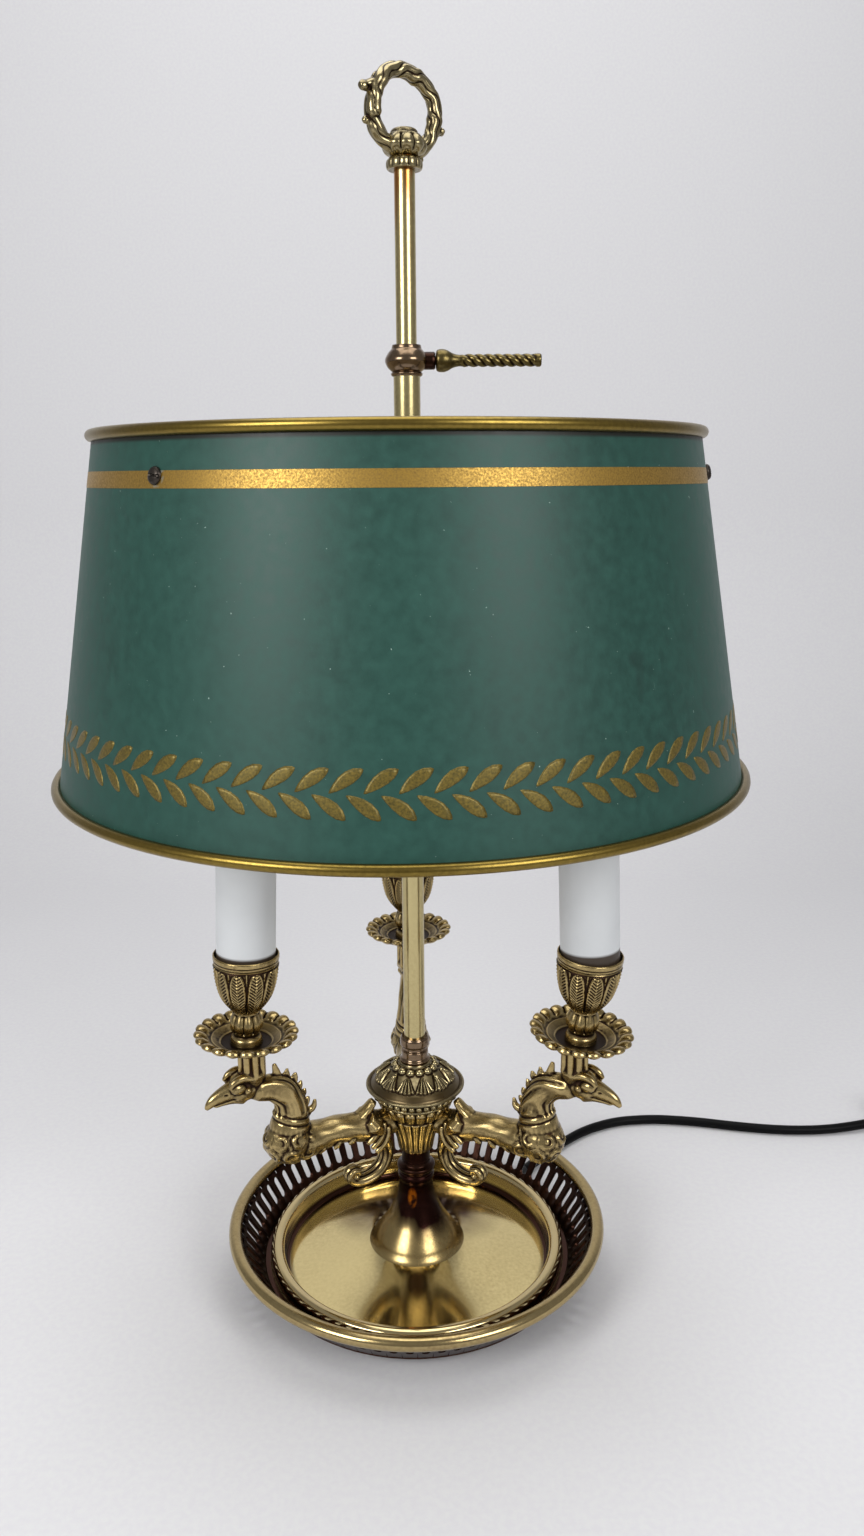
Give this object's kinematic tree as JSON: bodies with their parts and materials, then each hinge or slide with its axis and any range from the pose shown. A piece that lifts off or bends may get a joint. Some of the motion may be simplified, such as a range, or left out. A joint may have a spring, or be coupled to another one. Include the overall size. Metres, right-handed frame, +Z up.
{
  "type": "bouillotte lamp",
  "caption": "Table lamp with a pierced dish base, cast bird arms with candle lights, and a round metal shade that slides and turns on a central rod.",
  "frame": {"origin": "on the lamp's axis, on the table that the felt stands on", "axes": "+Z up along the rod, -Y towards the viewer of the picture, +X along the clamp key"},
  "size_m": [0.5395, 0.306, 0.5481],
  "materials": {
    "polished_brass": "polished, aged",
    "cast_brass": "cast, patinated in the hollows",
    "tube_brass": "drawn and polished",
    "tarnished_brass": "darkened",
    "green_paint": "satin green outside, pale inside, with gilt lines",
    "gilt_paint": "gilt paint",
    "dark_steel": "darkened steel",
    "zinc_steel": "zinc plated",
    "cast_iron": "raw",
    "felt": "pressed felt",
    "candle_white": "smooth white sleeve",
    "black_plastic": "moulded",
    "cord_plastic": "dark round cord",
    "clear_glass": "clear"
  },
  "bodies": {
    "base": {"base_dish": "polished_brass", "base_weight": "cast_iron", "base_felt": "felt", "rod_nut": "zinc_steel", "trumpet_foot": "polished_brass", "foot_collar": "tarnished_brass", "urn_vase": "cast_brass", "urn_bead_ring": "cast_brass", "urn_dome": "cast_brass", "stem_collar": "tarnished_brass", "threaded_rod": "zinc_steel", "stem_tube": "tube_brass", "slide_rod": "tube_brass", "finial_collar": "tarnished_brass", "finial_ring": "cast_brass", "bird_arm_1": "cast_brass", "drip_pan_1": "cast_brass", "candle_cup_1": "cast_brass", "candle_sleeve_1": "candle_white", "lamp_socket_1": "black_plastic", "bulb_cap_1": "zinc_steel", "bulb_glass_1": "clear_glass", "bird_arm_2": "cast_brass", "drip_pan_2": "cast_brass", "candle_cup_2": "cast_brass", "candle_sleeve_2": "candle_white", "lamp_socket_2": "black_plastic", "bulb_cap_2": "zinc_steel", "bulb_glass_2": "clear_glass", "bird_arm_3": "cast_brass", "drip_pan_3": "cast_brass", "candle_cup_3": "cast_brass", "candle_sleeve_3": "candle_white", "lamp_socket_3": "black_plastic", "bulb_cap_3": "zinc_steel", "bulb_glass_3": "clear_glass", "cord_outlet": "black_plastic", "cord_lead": "cord_plastic", "cord_tail": "cord_plastic", "cord_end": "cord_plastic", "cord_coil": "cord_plastic", "cord_tie": "black_plastic", "switch_body": "black_plastic", "switch_cover": "black_plastic", "plug_body": "black_plastic", "plug_pin_1": "zinc_steel", "plug_pin_2": "zinc_steel"},
    "carrier": {"carrier_tube": "tube_brass", "ball_collar": "tarnished_brass", "ring_nut": "tarnished_brass"},
    "key": {"clamp_key": "polished_brass"},
    "shade": {"shade_spider": "dark_steel", "shade_drum": "green_paint", "shade_rim_top": "gilt_paint", "shade_rim_bottom": "gilt_paint", "shade_screw_1": "dark_steel", "shade_screw_2": "dark_steel", "shade_screw_3": "dark_steel"},
    "rocker": {"switch_rocker": "black_plastic"}
  },
  "joints": [
    {"name": "carrier_slide", "type": "slide", "parent": "base", "child": "carrier", "axis": [0, 0, 1], "range_m": [-0.036, 0.064]},
    {"name": "shade_turn", "type": "hinge", "parent": "carrier", "child": "shade", "pos_m": [0, 0, 0.382], "axis": [0, 0, 1], "continuous": true},
    {"name": "key_turn", "type": "hinge", "parent": "carrier", "child": "key", "pos_m": [0.0165, 0, 0.4355], "axis": [1, 0, 0], "range_deg": [-90, 270]},
    {"name": "rocker_tilt", "type": "hinge", "parent": "base", "child": "rocker", "pos_m": [0.3164, 0.12164, 0.0134], "axis": [-0.14, 0.9901, 0], "range_deg": [0, 12]}
  ]
}
